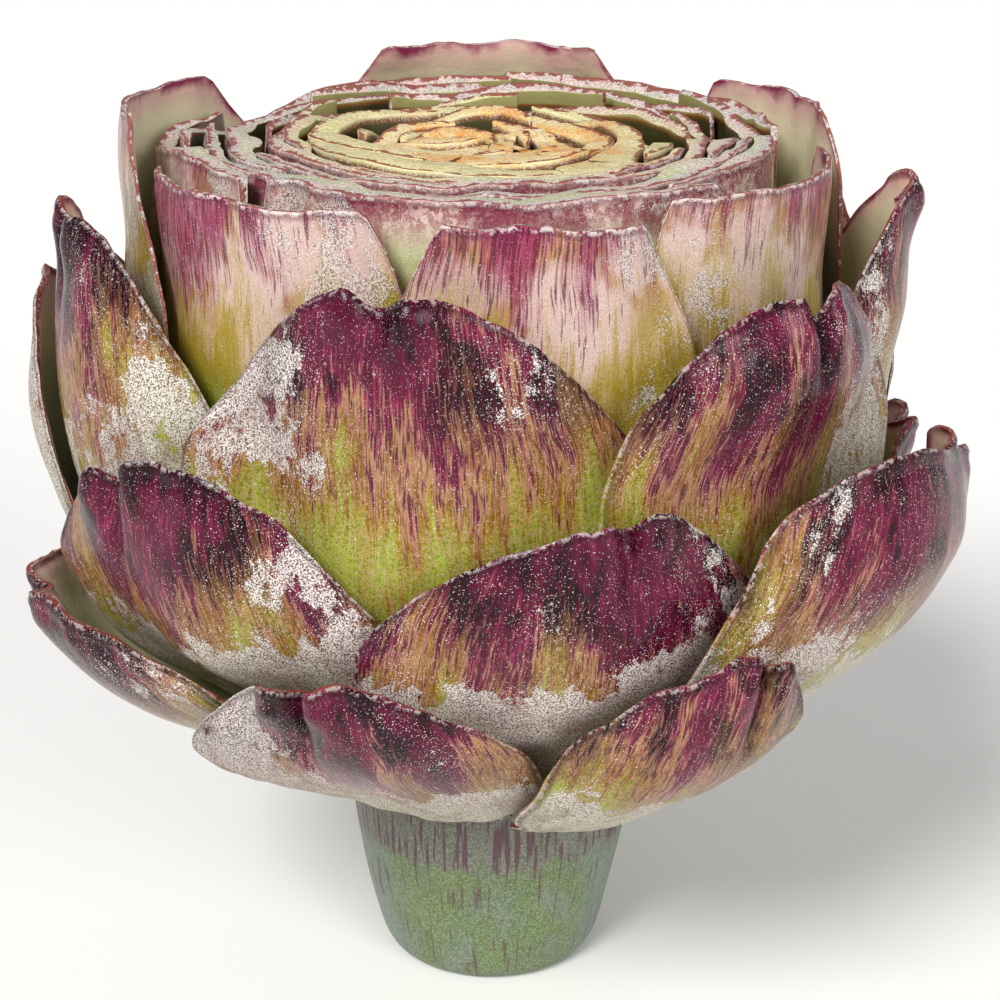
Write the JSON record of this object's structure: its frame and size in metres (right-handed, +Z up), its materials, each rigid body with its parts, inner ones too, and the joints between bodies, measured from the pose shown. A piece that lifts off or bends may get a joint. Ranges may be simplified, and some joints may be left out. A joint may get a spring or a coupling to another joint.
{
  "type": "globe artichoke",
  "caption": "Globe artichoke with overlapping purple bracts, topped flat so that its packed leaves show as rings, standing on its cut stem.",
  "frame": {"origin": "centre of the stem's flat cut face, on the surface it stands on", "axes": "+Z up along the stem towards the cut top, -Y towards the side with the best view, +X to the right seen from there"},
  "size_m": [0.1052, 0.0963, 0.1036],
  "materials": {
    "stem": "grey-green stalk skin with fine purple streaks, satin",
    "heart": "freshly cut young leaves, peach to pale yellow, moist satin",
    "outer_bract": "plum-purple bract running to gold and green, frosted at the sides, waxy gloss",
    "cut_bract": "lilac and cream bract with magenta streaks and a pale cut edge, satin"
  },
  "bodies": {
    "root": {"stem": "stem", "heart": "heart", "bract_01": "outer_bract", "bract_02": "outer_bract", "bract_03": "outer_bract", "bract_04": "outer_bract", "bract_05": "outer_bract", "bract_06": "outer_bract", "bract_07": "outer_bract", "bract_08": "outer_bract", "bract_09": "outer_bract", "bract_10": "outer_bract", "bract_11": "outer_bract", "bract_12": "outer_bract", "bract_13": "outer_bract", "bract_14": "outer_bract", "bract_15": "outer_bract", "bract_16": "outer_bract", "bract_17": "outer_bract", "bract_18": "outer_bract", "bract_19": "outer_bract", "bract_20": "outer_bract", "bract_21": "cut_bract", "bract_22": "cut_bract", "bract_23": "cut_bract", "bract_24": "cut_bract", "bract_25": "cut_bract", "bract_26": "cut_bract", "bract_27": "cut_bract", "bract_28": "cut_bract", "bract_29": "cut_bract", "bract_30": "cut_bract", "bract_31": "cut_bract", "bract_32": "cut_bract", "bract_33": "cut_bract", "bract_34": "cut_bract", "bract_35": "cut_bract", "bract_36": "cut_bract", "bract_37": "cut_bract", "bract_38": "cut_bract", "bract_39": "cut_bract", "bract_40": "cut_bract", "bract_41": "cut_bract", "bract_42": "cut_bract", "bract_43": "cut_bract", "bract_44": "cut_bract"}
  },
  "joints": []
}
